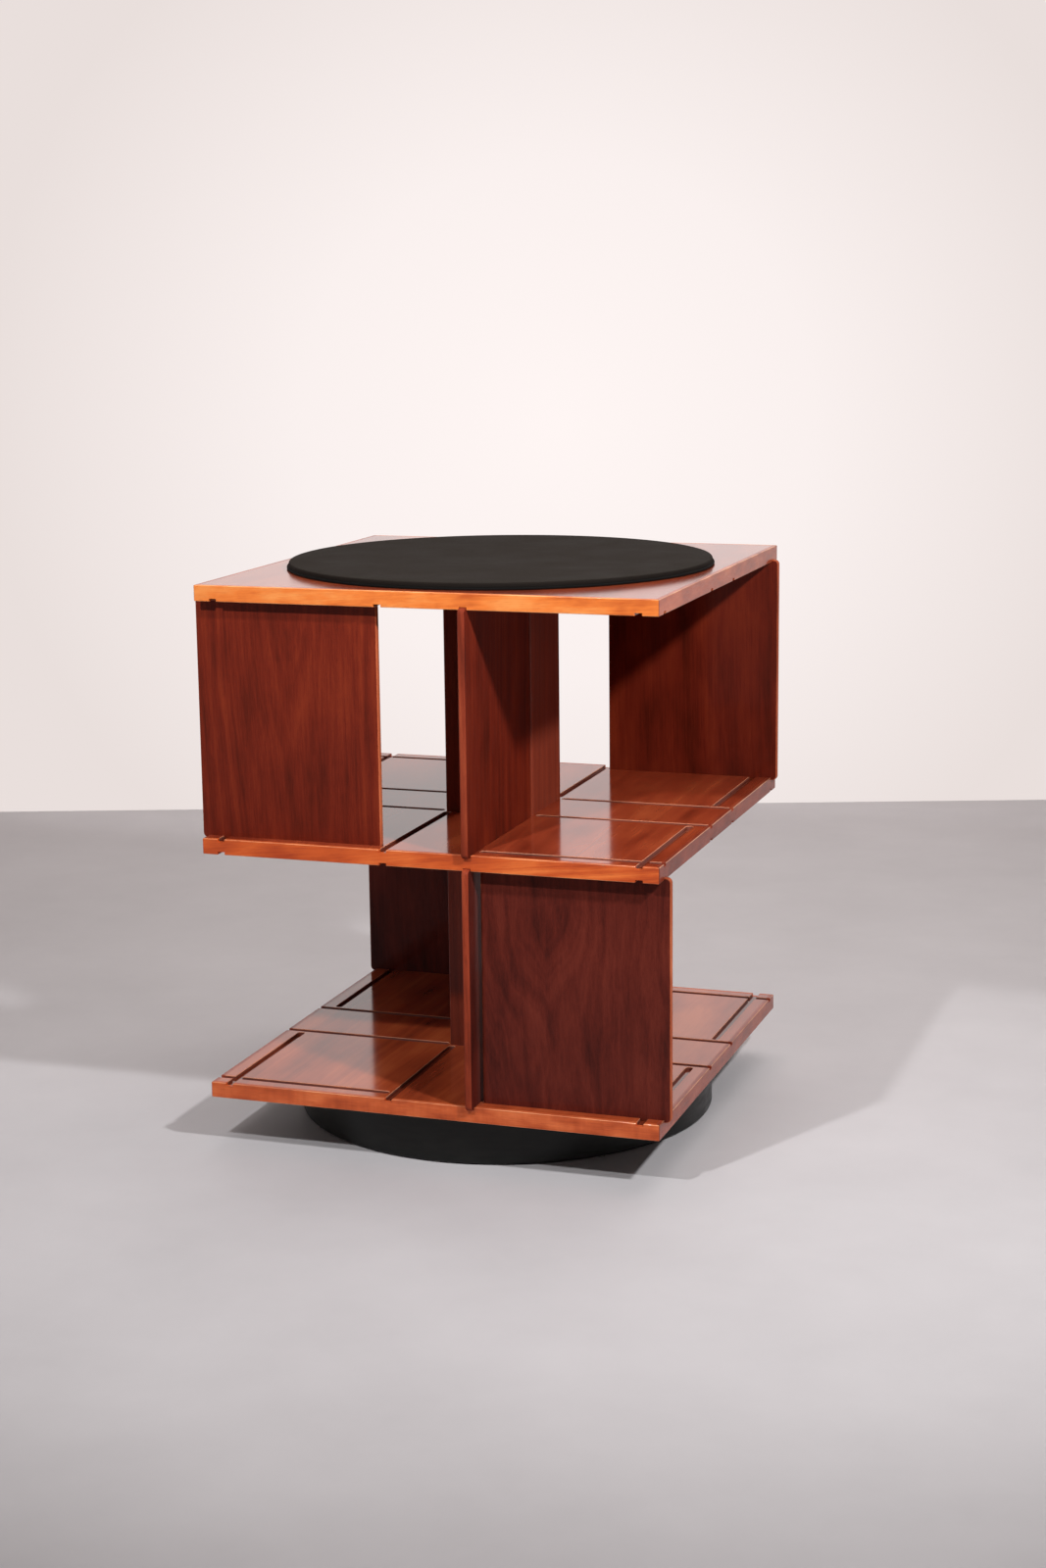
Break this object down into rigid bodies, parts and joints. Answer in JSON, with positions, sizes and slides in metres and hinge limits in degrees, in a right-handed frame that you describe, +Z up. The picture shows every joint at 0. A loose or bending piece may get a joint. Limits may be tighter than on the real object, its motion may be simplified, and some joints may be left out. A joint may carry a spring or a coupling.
{
  "type": "rotating modular bookcase",
  "caption": "Square wooden bookcase that turns on a round plinth, with grooved boards on a hollow column, loose panels that slide in from the edges, and a round pad on top.",
  "frame": {"origin": "on the floor, at the middle of the plinth, where the turning axis meets the floor", "axes": "+Z up along the turning axis, front towards -Y, right towards +X"},
  "size_m": [0.669, 0.669, 0.8015],
  "materials": {
    "board_veneer": "gloss lacquer",
    "panel_veneer": "satin lacquer",
    "lipping": "gloss lacquer",
    "dowel": "raw",
    "black_lacquer": "satin lacquer",
    "glide": "matte",
    "steel": "zinc plated",
    "ball_steel": "polished",
    "brass": "turned",
    "pad_base": "matte",
    "pad_cover": "felt"
  },
  "bodies": {
    "plinth": {"plinth_skirt": "black_lacquer", "plinth_deck": "black_lacquer", "floor_glides": "glide", "spindle_flange": "steel", "flange_screws": "steel", "spindle": "steel", "spindle_washer": "steel", "spindle_nut": "steel", "lower_race": "steel", "lower_race_screws": "steel"},
    "ball_ring": {"ball_cage": "brass", "bearing_balls": "ball_steel"},
    "carousel": {"upper_race": "steel", "upper_race_screws": "steel", "lower_bush": "brass", "upper_bush": "brass", "bottom_board": "board_veneer", "bottom_lipping_front": "lipping", "bottom_lipping_right": "lipping", "bottom_lipping_back": "lipping", "bottom_lipping_left": "lipping", "middle_board": "board_veneer", "middle_lipping_front": "lipping", "middle_lipping_right": "lipping", "middle_lipping_back": "lipping", "middle_lipping_left": "lipping", "top_board": "board_veneer", "top_lipping_front": "lipping", "top_lipping_right": "lipping", "top_lipping_back": "lipping", "top_lipping_left": "lipping", "lower_column_front": "panel_veneer", "lower_column_right": "panel_veneer", "lower_column_back": "panel_veneer", "lower_column_left": "panel_veneer", "lower_column_dowels": "dowel", "upper_column_front": "panel_veneer", "upper_column_right": "panel_veneer", "upper_column_back": "panel_veneer", "upper_column_left": "panel_veneer", "upper_column_dowels": "dowel"},
    "pad": {"pad_base": "pad_base", "pad_cover": "pad_cover"},
    "upper_front_left_panel": {"upper_front_left_panel": "panel_veneer", "upper_front_left_panel_lipping": "lipping"},
    "upper_centre_front_panel": {"upper_centre_front_panel": "panel_veneer", "upper_centre_front_panel_lipping": "lipping"},
    "upper_back_right_panel": {"upper_back_right_panel": "panel_veneer", "upper_back_right_panel_lipping": "lipping"},
    "upper_centre_back_panel": {"upper_centre_back_panel": "panel_veneer", "upper_centre_back_panel_lipping": "lipping"},
    "lower_front_right_panel": {"lower_front_right_panel": "panel_veneer", "lower_front_right_panel_lipping": "lipping"},
    "lower_centre_front_panel": {"lower_centre_front_panel": "panel_veneer", "lower_centre_front_panel_lipping": "lipping"},
    "lower_back_left_panel": {"lower_back_left_panel": "panel_veneer", "lower_back_left_panel_lipping": "lipping"},
    "lower_centre_back_panel": {"lower_centre_back_panel": "panel_veneer", "lower_centre_back_panel_lipping": "lipping"}
  },
  "joints": [
    {"name": "carousel_spin", "type": "hinge", "parent": "plinth", "child": "carousel", "pos_m": [0, 0, 0.071], "axis": [0, 0, 1], "continuous": true},
    {"name": "ball_ring_spin", "type": "hinge", "parent": "plinth", "child": "ball_ring", "pos_m": [0, 0, 0.065], "axis": [0, 0, 1], "continuous": true},
    {"name": "upper_front_left_slide", "type": "slide", "parent": "carousel", "child": "upper_front_left_panel", "axis": [-1, 0, 0], "range_m": [0, 0.2545]},
    {"name": "upper_centre_front_slide", "type": "slide", "parent": "carousel", "child": "upper_centre_front_panel", "axis": [0, -1, 0], "range_m": [0, 0.2545]},
    {"name": "upper_back_right_slide", "type": "slide", "parent": "carousel", "child": "upper_back_right_panel", "axis": [1, 0, 0], "range_m": [0, 0.2545]},
    {"name": "upper_centre_back_slide", "type": "slide", "parent": "carousel", "child": "upper_centre_back_panel", "axis": [0, 1, 0], "range_m": [0, 0.2545]},
    {"name": "lower_front_right_slide", "type": "slide", "parent": "carousel", "child": "lower_front_right_panel", "axis": [1, 0, 0], "range_m": [0, 0.2545]},
    {"name": "lower_centre_front_slide", "type": "slide", "parent": "carousel", "child": "lower_centre_front_panel", "axis": [0, -1, 0], "range_m": [0, 0.2545]},
    {"name": "lower_back_left_slide", "type": "slide", "parent": "carousel", "child": "lower_back_left_panel", "axis": [-1, 0, 0], "range_m": [0, 0.2545]},
    {"name": "lower_centre_back_slide", "type": "slide", "parent": "carousel", "child": "lower_centre_back_panel", "axis": [0, 1, 0], "range_m": [0, 0.2545]},
    {"name": "pad_lift", "type": "slide", "parent": "carousel", "child": "pad", "axis": [0, 0, 1], "range_m": [0, 0.15]}
  ],
  "couplings": [
    {"joint": "ball_ring_spin", "follows": "carousel_spin", "ratio": 0.5}
  ]
}
